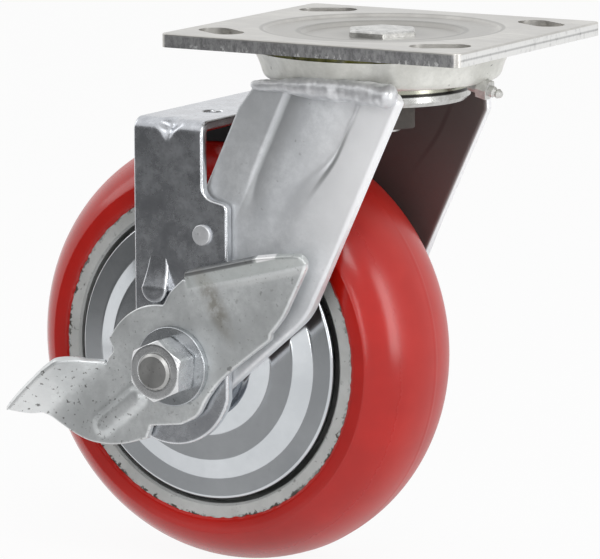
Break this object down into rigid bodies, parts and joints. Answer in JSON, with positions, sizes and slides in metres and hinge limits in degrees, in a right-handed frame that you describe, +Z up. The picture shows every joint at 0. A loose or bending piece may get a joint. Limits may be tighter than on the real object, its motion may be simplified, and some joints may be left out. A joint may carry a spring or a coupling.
{
  "type": "swivel castor",
  "caption": "Heavy swivel plate castor with a crowned red polyurethane wheel, steel fork and a side pedal brake whose strap presses a pad on the tread.",
  "frame": {"origin": "on the swivel axis at the top face of the mounting plate", "axes": "+Z up along the swivel axis, +X along the plate's long side and away from the trailing wheel, +Y along the wheel's axle, away from the brake pedal"},
  "size_m": [0.1883, 0.1145, 0.1905],
  "materials": {
    "plate_zinc": "zinc-plated plate with brushed top and sheared edges",
    "bolt_zinc": "zinc-plated fastener",
    "cup_zinc": "satin zinc plating, greasy near the race",
    "race_zinc": "bright turned zinc-plated ring",
    "fork_zinc": "satin zinc plating, mottled",
    "weld_metal": "zinc-plated weld bead",
    "bearing_steel": "polished hardened steel",
    "nipple_zinc": "bright zinc-plated fitting",
    "washer_zinc": "bright zinc-plated washer",
    "bush_steel": "turned steel",
    "red_tread": "glossy cast polyurethane",
    "core_metal": "painted cast core, ring edge bare",
    "disc_zinc": "polished stamped zinc-plated cover",
    "cage_plastic": "moulded roller cage",
    "strap_zinc": "bright zinc-plated steel strap",
    "pad_rubber": "moulded brake pad",
    "pedal_zinc": "zinc plating with a brown stain and specks"
  },
  "bodies": {
    "mount": {"top_plate": "plate_zinc", "king_bolt": "bolt_zinc", "lower_race": "race_zinc", "king_washer": "bolt_zinc", "king_nut": "bolt_zinc"},
    "fork": {"swivel_base": "cup_zinc", "upper_balls": "bearing_steel", "lower_balls": "bearing_steel", "grease_nipple": "nipple_zinc", "fork_leg_near": "fork_zinc", "fork_leg_far": "fork_zinc", "weld_near": "weld_metal", "weld_far": "weld_metal", "axle_bolt": "bolt_zinc", "axle_nut": "bolt_zinc", "nut_washer": "washer_zinc", "head_washer": "washer_zinc", "pedal_bush": "bush_steel", "strap_bush": "bush_steel", "axle_sleeve": "bush_steel", "thrust_washer_near": "bush_steel", "thrust_washer_far": "bush_steel"},
    "wheel": {"tread": "red_tread", "wheel_core": "core_metal", "disc_near": "disc_zinc", "disc_far": "disc_zinc", "hub_rollers": "bearing_steel", "roller_cage": "cage_plastic"},
    "strap": {"brake_strap": "strap_zinc", "brake_pad": "pad_rubber", "pad_stud": "bolt_zinc", "guide_pin_near": "strap_zinc", "guide_pin_far": "strap_zinc"},
    "pedal": {"brake_pedal": "pedal_zinc"}
  },
  "joints": [
    {"name": "swivel", "type": "hinge", "parent": "mount", "child": "fork", "pos_m": [0, 0, 0], "axis": [0, 0, 1], "continuous": true},
    {"name": "wheel_spin", "type": "hinge", "parent": "fork", "child": "wheel", "pos_m": [-0.055, 0, -0.1143], "axis": [0, 1, 0], "continuous": true},
    {"name": "strap_lift", "type": "slide", "parent": "fork", "child": "strap", "axis": [0, 0, 1], "range_m": [0, 0.0048]},
    {"name": "pedal_turn", "type": "hinge", "parent": "fork", "child": "pedal", "pos_m": [-0.055, 0, -0.1143], "axis": [0, 1, 0], "range_deg": [0, 48]}
  ],
  "couplings": [
    {"joint": "strap_lift", "follows": "pedal_turn", "m_per_rad": 0.0057295}
  ]
}
